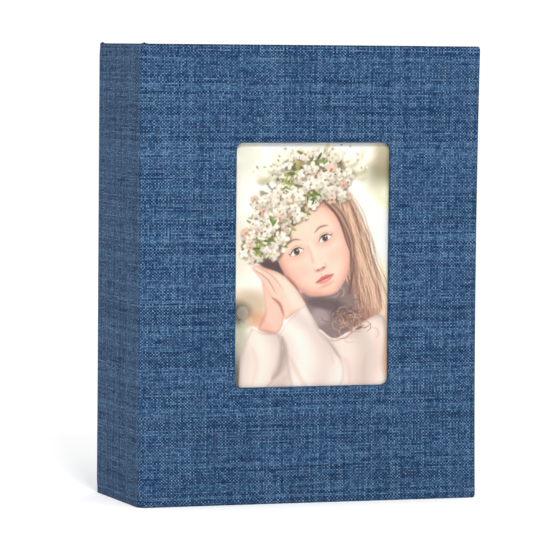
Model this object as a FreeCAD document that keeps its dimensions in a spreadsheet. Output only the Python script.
"""Scrapbook album: a cloth-covered three-board case around a screw-post binding of twenty leaves.

The album stands upright on its tail edge. X runs from the spine (-X) to the fore edge (+X), the front
cover faces -Y and Z is up. The origin is the centre of the outer box, on the standing plane.

How it is built, from the outside in:
  case      three greyboards (front, spine, back) covered in one cloth, which is cut here at the two hinge
            corners into the cloth that stays flat on each board and the strip that bends at each hinge
  window    an opening in the front cover, its edge wrapped in cloth, with a clear film behind it, a print
            in a slot that is open at the head, and a lining over the slot
  binding   two angle-section flanges on the spine, clamping twenty stubs with three screw posts
  leaves    one stiff card per stub, each on a thin cloth hinge
"""

import FreeCAD
import Part
import os

import Sketcher

LEAF_COUNT = 20
POST_COUNT = 3

# Driving dimensions, in millimetres.
DIMENSIONS = {
    "album_height": 262.0,
    "album_width": 205.0,
    "album_thickness": 84.0,
    "cloth": 0.4,
    "board": 2.5,
    "corner_radius": 2.0,
    "turn_in": 15.0,
    "hinge_inset": 5.0,
    "hinge_cloth": 0.8,
    "hinge_radius": 3.4,
    "window_width": 93.5,
    "window_height": 139.5,
    "window_from_spine": 57.2,
    "window_from_tail": 66.9,
    "window_radius": 4.5,
    "window_turn_in": 5.0,
    "print_width": 101.6,
    "print_height": 152.4,
    "print_paper": 0.25,
    "film": 0.2,
    "slot_side_play": 0.7,
    "slot_layer": 1.2,
    "film_margin": 0.3,
    "print_gap": 0.1,
    "lining_margin": 4.0,
    "lining_sheet": 0.4,
    "square": 4.0,
    "flange_gap": 0.8,
    "flange": 2.5,
    "flange_width": 24.0,
    "flange_leg": 14.0,
    "flange_leg_thickness": 1.2,
    "stub_gap": 0.3,
    "leaf": 1.8,
    "leaf_hinge": 0.35,
    "leaf_hinge_width": 7.2,
    "leaf_hinge_gap": 0.5,
    "leaf_corner_radius": 3.0,
    "post_radius": 2.5,
    "post_hole_radius": 2.7,
    "post_head_radius": 5.0,
    "post_head": 1.2,
    "counterbore": 1.0,
    "counterbore_radius": 5.2,
    "post_pitch": 85.0,
    "post_bore_radius": 1.6,
    "post_bore_depth": 14.0,
    "screw_radius": 1.5,
    "screw_length": 12.0,
    "slot_width": 1.2,
    "slot_depth": 0.6,
}

doc = FreeCAD.newDocument("ScrapbookAlbum")
sheet = doc.addObject("Spreadsheet::Sheet", "Dims")
for row, (alias, value) in enumerate(DIMENSIONS.items(), start=1):
    sheet.set(f"A{row}", alias)
    sheet.set(f"B{row}", str(value))
    sheet.setAlias(f"B{row}", alias)
doc.recompute()


def d(alias):
    """The expression for one of the driving dimensions."""
    return f"Dims.{alias}"


# Planes of the case, as expressions over the driving dimensions.
SPINE = f"(-{d('album_width')} / 2)"
FORE = f"({d('album_width')} / 2)"
FRONT = f"(-{d('album_thickness')} / 2)"
BACK = f"({d('album_thickness')} / 2)"
HEAD = d("album_height")
CASE_DEPTH = f"({d('cloth')} + {d('board')})"
SPINE_INSIDE = f"({SPINE} + {CASE_DEPTH} + {d('cloth')} + {d('lining_sheet')})"
COVER_START = f"({SPINE} + {d('hinge_inset')})"
FRONT_COVER_DEPTH = f"({CASE_DEPTH} + {d('slot_layer')} + {d('lining_sheet')})"
BACK_COVER_DEPTH = f"({CASE_DEPTH} + {d('cloth')} + {d('lining_sheet')})"
FRONT_FLANGE = f"({FRONT} + {FRONT_COVER_DEPTH} + {d('flange_gap')})"
BACK_FLANGE = f"({BACK} - {BACK_COVER_DEPTH} - {d('flange_gap')})"
STACK_START = f"({FRONT_FLANGE} + {d('flange')})"
STACK_END = f"({BACK_FLANGE} - {d('flange')})"
LEAF_PITCH = f"(({STACK_END} - {STACK_START}) / {LEAF_COUNT})"
FLANGE_END = f"({SPINE_INSIDE} + {d('flange_width')})"
STUB_START = f"({SPINE_INSIDE} + {d('flange_leg_thickness')} + {d('stub_gap')})"
POST_X = f"(({STUB_START} + {FLANGE_END}) / 2)"
WINDOW_X = f"({SPINE} + {d('window_from_spine')})"
WINDOW_Z = d("window_from_tail")
WINDOW_MID_X = f"({WINDOW_X} + {d('window_width')} / 2)"
WINDOW_MID_Z = f"({WINDOW_Z} + {d('window_height')} / 2)"

subparts = []


def keep(feature, label):
    """Names a finished sub-part and lists it for export."""
    feature.Label = label
    subparts.append(feature)
    return feature


def place(feature, x, y, z):
    for axis, expression in zip("xyz", (x, y, z)):
        feature.setExpression(f".Placement.Base.{axis}", expression)


def box(name, x, y, z):
    """A box between pairs of expressions, given as (low, high) along each axis."""
    feature = doc.addObject("Part::Box", name)
    for size, (low, high) in zip(("Length", "Width", "Height"), (x, y, z)):
        feature.setExpression(size, f"{high} - {low}")
    place(feature, x[0], y[0], z[0])
    return feature


def cut(name, base, *tools):
    """base less every tool, in turn."""
    for number, tool in enumerate(tools, start=1):
        last = number == len(tools)
        feature = doc.addObject("Part::Cut", name if last else f"{name}_cut_{number}")
        feature.Base = base
        feature.Tool = tool
        base = feature
    return base


def new_body(name, x, y, z):
    body = doc.addObject("PartDesign::Body", name)
    place(body, x, y, z)
    return body


def new_sketch(body, name, plane):
    """A sketch on one of the body's own origin planes: XY_Plane, XZ_Plane or YZ_Plane."""
    sketch = body.newObject("Sketcher::SketchObject", f"{body.Name}_{name}")
    origin_plane = next(f for f in body.Origin.OriginFeatures if f.Role == plane)
    sketch.AttachmentSupport = (origin_plane, "")
    sketch.MapMode = "FlatFace"
    return sketch


def offset_point(sketch, line, point, axis, expression):
    """Holds a point of the sketch at a distance from the origin, or on the axis where it is None."""
    if expression is None:
        datum_axis = -2 if axis == "X" else -1
        sketch.addConstraint(Sketcher.Constraint("PointOnObject", line, point, datum_axis))
        return
    number = sketch.addConstraint(Sketcher.Constraint(f"Distance{axis}", -1, 1, line, point, 1.0))
    sketch.setExpression(f"Constraints[{number}]", expression)


def polygon(sketch, points):
    """A closed outline of straight lines parallel to the axes. Each point is a pair of expressions
    for its distance from the sketch's origin, None meaning zero."""
    values = [tuple(evaluate(sketch, e) for e in point) for point in points]
    first = sketch.GeometryCount
    count = len(points)
    for number, (u, v) in enumerate(values):
        u_next, v_next = values[(number + 1) % count]
        start = FreeCAD.Vector(u, v, 0)
        end = FreeCAD.Vector(u_next, v_next, 0)
        sketch.addGeometry(Part.LineSegment(start, end))
    for number, (u, v) in enumerate(values):
        line = first + number
        following = first + (number + 1) % count
        flat = abs(values[(number + 1) % count][1] - v) < 1e-6
        sketch.addConstraint(Sketcher.Constraint("Coincident", line, 2, following, 1))
        sketch.addConstraint(Sketcher.Constraint("Horizontal" if flat else "Vertical", line))
    for number, (u, v) in enumerate(points):
        # Along a horizontal line one end gives the height, and along a vertical one the other gives x.
        flat = abs(values[(number + 1) % count][1] - values[number][1]) < 1e-6
        axis, expression = ("Y", v) if flat else ("X", u)
        offset_point(sketch, first + number, 1, axis, expression)


def evaluate(feature, expression):
    """The present value of an expression, so that geometry starts where its constraints will hold it."""
    return 0.0 if expression is None else float(feature.evalExpression(expression))


def rectangle(sketch, u, v):
    """A rectangle between pairs of expressions along the sketch's two axes."""
    polygon(sketch, [(u[0], v[0]), (u[1], v[0]), (u[1], v[1]), (u[0], v[1])])


def circles(sketch, centres, radius):
    """Circles of one radius at the given centres, each a pair of expressions."""
    for centre in centres:
        u, v = (evaluate(sketch, e) for e in centre)
        middle = FreeCAD.Vector(u, v, 0)
        circle = sketch.addGeometry(
            Part.Circle(middle, FreeCAD.Vector(0, 0, 1), evaluate(sketch, radius))
        )
        number = sketch.addConstraint(Sketcher.Constraint("Radius", circle, 1.0))
        sketch.setExpression(f"Constraints[{number}]", radius)
        offset_point(sketch, circle, 3, "X", centre[0])
        offset_point(sketch, circle, 3, "Y", centre[1])


def pad(body, name, sketch, length, backwards=False):
    feature = body.newObject("PartDesign::Pad", f"{body.Name}_{name}")
    feature.Profile = sketch
    feature.setExpression("Length", length)
    feature.Reversed = backwards
    doc.recompute()
    return feature


def pocket(body, name, sketch, depth, backwards=False):
    """Cuts the sketch into the body, and stops the script if nothing was removed."""
    before = body.Shape.Volume
    feature = body.newObject("PartDesign::Pocket", f"{body.Name}_{name}")
    feature.Profile = sketch
    feature.setExpression("Length", depth)
    feature.Reversed = backwards
    doc.recompute()
    if body.Shape.Volume > before - 1e-3:
        raise RuntimeError(f"{feature.Name} removed nothing")
    return feature


def round_edges(body, name, direction, radius, chosen):
    """Fillets the body's straight edges along direction whose middle passes the test chosen."""
    doc.recompute()
    base = body.Tip
    names = []
    for number, edge in enumerate(base.Shape.Edges, start=1):
        start, end = edge.Vertexes[0].Point, edge.Vertexes[-1].Point
        along = end - start
        if along.Length > 1e-6 and (along / along.Length).cross(direction).Length < 1e-6:
            if chosen((start + end) / 2):
                names.append(f"Edge{number}")
    feature = body.newObject("PartDesign::Fillet", f"{body.Name}_{name}")
    feature.Base = (base, names)
    feature.setExpression("Radius", radius)
    doc.recompute()
    return feature


ALONG_Y = FreeCAD.Vector(0, 1, 0)


def plate(name, x, y, z, corner_radius):
    """An upright plate whose two fore-edge corners are rounded. Its thickness runs along Y."""
    body = new_body(name, x[0], y[0], z[0])
    width, height = f"{x[1]} - {x[0]}", f"{z[1]} - {z[0]}"
    outline = new_sketch(body, "outline", "XZ_Plane")
    rectangle(outline, (None, width), (None, height))
    pad(body, "plate", outline, f"{y[1]} - {y[0]}", backwards=True)
    right = evaluate(body, width)
    round_edges(body, "corners", ALONG_Y, corner_radius, lambda p: p.x > right - 1e-3)
    return body


def window_prism(name, y, grow):
    """The window's opening as a solid, larger all round by grow, with rounded corners."""
    body = new_body(name, f"{WINDOW_X} - {grow}", y[0], f"{WINDOW_Z} - {grow}")
    outline = new_sketch(body, "outline", "XZ_Plane")
    width = f"{d('window_width')} + 2 * {grow}"
    height = f"{d('window_height')} + 2 * {grow}"
    rectangle(outline, (None, width), (None, height))
    pad(body, "opening", outline, f"{y[1]} - {y[0]}", backwards=True)
    round_edges(body, "corners", ALONG_Y, f"{d('window_radius')} + {grow}", lambda p: True)
    return body


def covered_board(side, board_name, cloth_name, window=False):
    """A cover board and the cloth on it: outer face, three wrapped edges and the turn-ins on the inner
    face. side is +1 for the front cover, whose layers run along +Y, and -1 for the back cover."""

    def layer(start, end):
        """A depth range below the cover's outer face, as a Y range."""
        if side > 0:
            return f"({FRONT} + {start})", f"({FRONT} + {end})"
        return f"({BACK} - {end})", f"({BACK} - {start})"

    cloth = d("cloth")
    wrapped = f"({CASE_DEPTH} + {cloth})"
    board_x = (COVER_START, f"({FORE} - {cloth})")
    board_z = (cloth, f"({HEAD} - {cloth})")
    board = plate(f"{board_name}_plate", board_x, layer(cloth, CASE_DEPTH), board_z,
                  f"{d('corner_radius')} - {cloth}")
    block = plate(f"{cloth_name}_block", (COVER_START, FORE), layer("0", wrapped), ("0", HEAD),
                  d("corner_radius"))
    inner_x = (COVER_START, f"({FORE} - {d('turn_in')})")
    inner_z = (d("turn_in"), f"({HEAD} - {d('turn_in')})")
    bare = box(f"{cloth_name}_bare", inner_x, layer(CASE_DEPTH, wrapped), inner_z)
    if window:
        through = layer(f"(-{cloth})", f"({wrapped} + {cloth})")
        board = cut(f"{board_name}_framed", board, window_prism(f"{board_name}_hole", through, cloth))
        ring = window_prism(f"{cloth_name}_ring", layer(CASE_DEPTH, wrapped), d("window_turn_in"))
        bare = cut(f"{cloth_name}_bare_ringed", bare, ring)
        hole = window_prism(f"{cloth_name}_hole", through, "0")
        covering = cut(f"{cloth_name}_wrap", block, board, bare, hole)
    else:
        covering = cut(f"{cloth_name}_wrap", block, board, bare)
    keep(board, board_name)
    return keep(covering, cloth_name)


def front_cover():
    cloth = covered_board(1, "front_board", "front_cloth", window=True)
    inside = f"({FRONT} + {CASE_DEPTH})"
    slot_end = f"({inside} + {d('slot_layer')})"
    lining_x = (COVER_START, f"({FORE} - {d('lining_margin')})")
    lining_z = (d("lining_margin"), f"({HEAD} - {d('lining_margin')})")

    # The slot frame is a card with a channel for the print, closed at the bottom and open at the head.
    half_slot = f"({d('print_width')} / 2 + {d('slot_side_play')})"
    slot_x = (f"({WINDOW_MID_X} - {half_slot})", f"({WINDOW_MID_X} + {half_slot})")
    slot_z = f"({WINDOW_MID_Z} - {d('print_height')} / 2)"
    card = box("slot_card", lining_x, (inside, slot_end), lining_z)
    channel = box("slot_channel", slot_x, (inside, slot_end), (slot_z, HEAD))
    keep(cut("slot_frame", card, channel, cloth), "photo_slot_frame")

    film_face = f"({inside} + {d('cloth')})"
    film_x = (f"({slot_x[0]} + {d('film_margin')})", f"({slot_x[1]} - {d('film_margin')})")
    film_z = (f"({slot_z} + {d('film_margin')})", f"({slot_z} + {d('print_height')})")
    film = box("film_sheet", film_x, (film_face, f"({film_face} + {d('film')})"), film_z)
    keep(film, "window_film")

    print_face = f"({film_face} + {d('film')} + {d('print_gap')})"
    half_print = f"{d('print_width')} / 2"
    print_x = (f"({WINDOW_MID_X} - {half_print})", f"({WINDOW_MID_X} + {half_print})")
    print_y = (print_face, f"({print_face} + {d('print_paper')})")
    print_z = (f"({slot_z} + 0.1)", f"({slot_z} + 0.1 + {d('print_height')})")
    keep(box("print_sheet", print_x, print_y, print_z), "cover_photo")

    lining_y = (slot_end, f"({slot_end} + {d('lining_sheet')})")
    keep(box("front_lining_sheet", lining_x, lining_y, lining_z), "front_lining")


def back_cover():
    cloth = covered_board(-1, "back_board", "back_cloth")
    lining_x = (COVER_START, f"({FORE} - {d('lining_margin')})")
    lining_y = (f"({BACK} - {BACK_COVER_DEPTH})", f"({BACK} - {CASE_DEPTH})")
    lining_z = (d("lining_margin"), f"({HEAD} - {d('lining_margin')})")
    keep(cut("back_lining_sheet", box("back_lining_card", lining_x, lining_y, lining_z), cloth),
         "back_lining")


def spine():
    """The spine board with its cloth, which is turned in at head and tail, and its lining."""
    spine_y = (f"({FRONT} + {d('hinge_inset')})", f"({BACK} - {d('hinge_inset')})")
    board_x = (f"({SPINE} + {d('cloth')})", f"({SPINE} + {CASE_DEPTH})")
    board_z = (d("cloth"), f"({HEAD} - {d('cloth')})")
    board = keep(box("spine_plate", board_x, spine_y, board_z), "spine_board")
    wrapped = f"({SPINE} + {CASE_DEPTH} + {d('cloth')})"
    block = box("spine_cloth_block", (SPINE, wrapped), spine_y, ("0", HEAD))
    bare_z = (d("turn_in"), f"({HEAD} - {d('turn_in')})")
    bare = box("spine_cloth_bare", (board_x[1], wrapped), spine_y, bare_z)
    cloth = keep(cut("spine_wrap", block, board, bare), "spine_cloth")
    lining_z = (d("lining_margin"), f"({HEAD} - {d('lining_margin')})")
    card = box("spine_lining_card", (board_x[1], SPINE_INSIDE), spine_y, lining_z)
    keep(cut("spine_lining_sheet", card, cloth), "spine_lining")


def hinge_cloth(label, side):
    """The strip of cloth, outer layer and inner joint together, round one long corner of the case. Its
    section is drawn at the origin for the front corner and mirrored in Y for the back one."""
    inset, thick, outer = (sheet.get(a) for a in ("hinge_inset", "hinge_cloth", "hinge_radius"))
    height = sheet.get("album_height")
    inner = outer - thick

    def section_point(x, y):
        return FreeCAD.Vector(x, side * y, 0)

    def corner_arc(radius):
        diagonal = outer - radius * 0.5 ** 0.5
        return Part.Arc(section_point(outer - radius, outer), section_point(diagonal, diagonal),
                        section_point(outer, outer - radius))

    outline = [
        Part.LineSegment(section_point(0, inset), section_point(0, outer)),
        corner_arc(outer),
        Part.LineSegment(section_point(outer, 0), section_point(inset, 0)),
        Part.LineSegment(section_point(inset, 0), section_point(inset, thick)),
        Part.LineSegment(section_point(inset, thick), section_point(outer, thick)),
        corner_arc(inner),
        Part.LineSegment(section_point(thick, outer), section_point(thick, inset)),
        Part.LineSegment(section_point(thick, inset), section_point(0, inset)),
    ]
    edges = Part.sortEdges([curve.toShape() for curve in outline])[0]
    strip = doc.addObject("Part::Feature", f"{label}_strip")
    strip.Shape = Part.Face(Part.Wire(edges)).extrude(FreeCAD.Vector(0, 0, height))
    place(strip, SPINE, FRONT if side > 0 else BACK, "0")
    return keep(strip, label)


def post_heights():
    """The posts' heights, as expressions above the tail."""
    return [f"({HEAD} / 2 + ({number} - {(POST_COUNT - 1) / 2}) * {d('post_pitch')})"
            for number in range(POST_COUNT)]


def flange(label, side):
    """An angle strip: one leg lies on the spine, the other carries the counterbored post holes."""
    outer_face = FRONT_FLANGE if side > 0 else BACK_FLANGE
    body = new_body(f"{label}_angle", SPINE_INSIDE, outer_face, d("square"))
    section = new_sketch(body, "section", "XY_Plane")
    leg, leg_thick = d("flange_leg"), d("flange_leg_thickness")
    width, thick = d("flange_width"), d("flange")
    # The back flange is the front one turned half a turn about X, so it is drawn once.
    polygon(section, [(None, None), (width, None), (width, thick), (leg_thick, thick),
                      (leg_thick, leg), (None, leg)])
    pad(body, "angle", section, f"{HEAD} - 2 * {d('square')}")
    centres = [(f"{POST_X} - {SPINE_INSIDE}", f"{z} - {d('square')}") for z in post_heights()]
    holes = new_sketch(body, "holes", "XZ_Plane")
    circles(holes, centres, d("post_hole_radius"))
    pocket(body, "post_holes", holes, thick)
    seats = new_sketch(body, "seats", "XZ_Plane")
    circles(seats, centres, d("counterbore_radius"))
    pocket(body, "head_seats", seats, d("counterbore"))
    if side < 0:
        body.Placement.Rotation = FreeCAD.Rotation(FreeCAD.Vector(1, 0, 0), 180)
        place(body, SPINE_INSIDE, outer_face, f"{HEAD} - {d('square')}")
    return keep(body, label)


def leaf_plane(number):
    """The Y of a leaf's middle plane, counted from the front."""
    return f"({STACK_START} + ({number} - 0.5) * {LEAF_PITCH})"


def stub(number):
    """The strip that holds a leaf on the posts and sets the distance to the next leaf."""
    low = f"({STACK_START} + {number - 1} * {LEAF_PITCH})"
    body = new_body(f"stub_strip_{number:02d}", STUB_START, low, d("square"))
    outline = new_sketch(body, "outline", "XZ_Plane")
    rectangle(outline, (None, f"{FLANGE_END} - {STUB_START}"), (None, f"{HEAD} - 2 * {d('square')}"))
    centres = [(f"{POST_X} - {STUB_START}", f"{z} - {d('square')}") for z in post_heights()]
    circles(outline, centres, d("post_hole_radius"))
    pad(body, "strip", outline, LEAF_PITCH, backwards=True)
    return keep(body, f"stub_{number:02d}")


def leaf(number):
    """A card with a thin cloth hinge along its spine side, drawn as one stepped section."""
    hinge_start = f"({FLANGE_END} + {d('leaf_hinge_gap')})"
    low = f"({leaf_plane(number)} - {d('leaf')} / 2)"
    body = new_body(f"leaf_card_{number:02d}", hinge_start, low, d("square"))
    card_end = f"{FORE} - {d('square')} - {hinge_start}"
    width, step = d("leaf_hinge_width"), f"({d('leaf')} - {d('leaf_hinge')}) / 2"
    thick = d("leaf")
    section = new_sketch(body, "section", "XY_Plane")
    polygon(section, [(None, step), (width, step), (width, None), (card_end, None),
                      (card_end, thick), (width, thick), (width, f"{step} + {d('leaf_hinge')}"),
                      (None, f"{step} + {d('leaf_hinge')}")])
    pad(body, "card", section, f"{HEAD} - 2 * {d('square')}")
    right = evaluate(body, card_end)
    round_edges(body, "corners", ALONG_Y, d("leaf_corner_radius"), lambda p: p.x > right - 1e-3)
    return keep(body, f"leaf_{number:02d}")


def turned(name, profile, z):
    """A turned piece on an axis along +Y at one post's height. profile lists (radius, distance)."""
    body = new_body(name, POST_X, FRONT_FLANGE, z)
    section = new_sketch(body, "section", "XY_Plane")
    polygon(section, profile)
    feature = body.newObject("PartDesign::Revolution", f"{name}_turned")
    feature.Profile = section
    feature.ReferenceAxis = (section, ["V_Axis"])
    feature.Angle = 360.0
    doc.recompute()
    return body


def driver_slot(name, z, y):
    """The cutter for a screwdriver slot across a head."""
    half_width, half_length = f"{d('slot_width')} / 2", f"({d('post_head_radius')} + 1)"
    return box(name, (f"({POST_X} - {half_length})", f"({POST_X} + {half_length})"), y,
               (f"({z} - {half_width})", f"({z} + {half_width})"))


def fasteners():
    """Each post is a barrel with a head and a blind bore; a screw closes it from the back."""
    proud = f"({d('post_head')} - {d('counterbore')})"
    grip = f"({BACK_FLANGE} - {FRONT_FLANGE})"
    seat, far_seat = d("counterbore"), f"({grip} - {d('counterbore')})"
    barrel_end = f"({far_seat} - 0.1)"
    bore_start = f"({barrel_end} - {d('post_bore_depth')})"
    screw_tip = f"({far_seat} - {d('screw_length')})"
    posts, screws = [], []
    for number, z in enumerate(post_heights(), start=1):
        # Distances run from a datum one head below the front flange, so that none is negative.
        datum = f"({FRONT_FLANGE} - {proud})"

        def at(distance):
            return f"({distance} + {proud})"

        barrel = turned(f"post_turned_{number}", [
            (None, None), (d("post_head_radius"), None), (d("post_head_radius"), at(seat)),
            (d("post_radius"), at(seat)), (d("post_radius"), at(barrel_end)),
            (d("post_bore_radius"), at(barrel_end)), (d("post_bore_radius"), at(bore_start)),
            (None, at(bore_start))], z)
        place(barrel, POST_X, datum, z)
        front_slot = driver_slot(f"post_slot_{number}", z, (datum, f"({datum} + {d('slot_depth')})"))
        posts.append(cut(f"post_piece_{number}", barrel, front_slot))

        screw = turned(f"screw_turned_{number}", [
            (None, at(screw_tip)), (d("screw_radius"), at(screw_tip)),
            (d("screw_radius"), at(far_seat)), (d("post_head_radius"), at(far_seat)),
            (d("post_head_radius"), f"({at(far_seat)} + {d('post_head')})"),
            (None, f"({at(far_seat)} + {d('post_head')})")], z)
        place(screw, POST_X, datum, z)
        top = f"({datum} + {at(far_seat)} + {d('post_head')})"
        back_slot = driver_slot(f"screw_slot_{number}", z, (f"({top} - {d('slot_depth')})", top))
        screws.append(cut(f"screw_piece_{number}", screw, back_slot))
    for label, pieces in (("binding_posts", posts), ("binding_screws", screws)):
        group = doc.addObject("Part::Compound", f"{label}_group")
        group.Links = pieces
        keep(group, label)


def check_and_export():
    """Stops on any failed feature or bad shape, then writes one STEP file per sub-part."""
    doc.recompute()
    for feature in doc.Objects:
        if "Invalid" in feature.State or "Error" in feature.State:
            raise RuntimeError(f"{feature.Label} failed: {feature.State}")
    for feature in subparts:
        shape = feature.Shape
        if shape.isNull() or not shape.isValid() or not shape.Solids:
            raise RuntimeError(f"{feature.Label} has no valid solid")
    os.makedirs("parts", exist_ok=True)
    for feature in subparts:
        feature.Shape.exportStep(os.path.join("parts", f"{feature.Label}.step"))
    print(f"{len(subparts)} sub-parts written")


front_cover()
back_cover()
spine()
hinge_cloth("front_hinge_cloth", 1)
hinge_cloth("back_hinge_cloth", -1)
flange("front_flange", 1)
flange("back_flange", -1)
for leaf_number in range(1, LEAF_COUNT + 1):
    stub(leaf_number)
    leaf(leaf_number)
fasteners()
check_and_export()
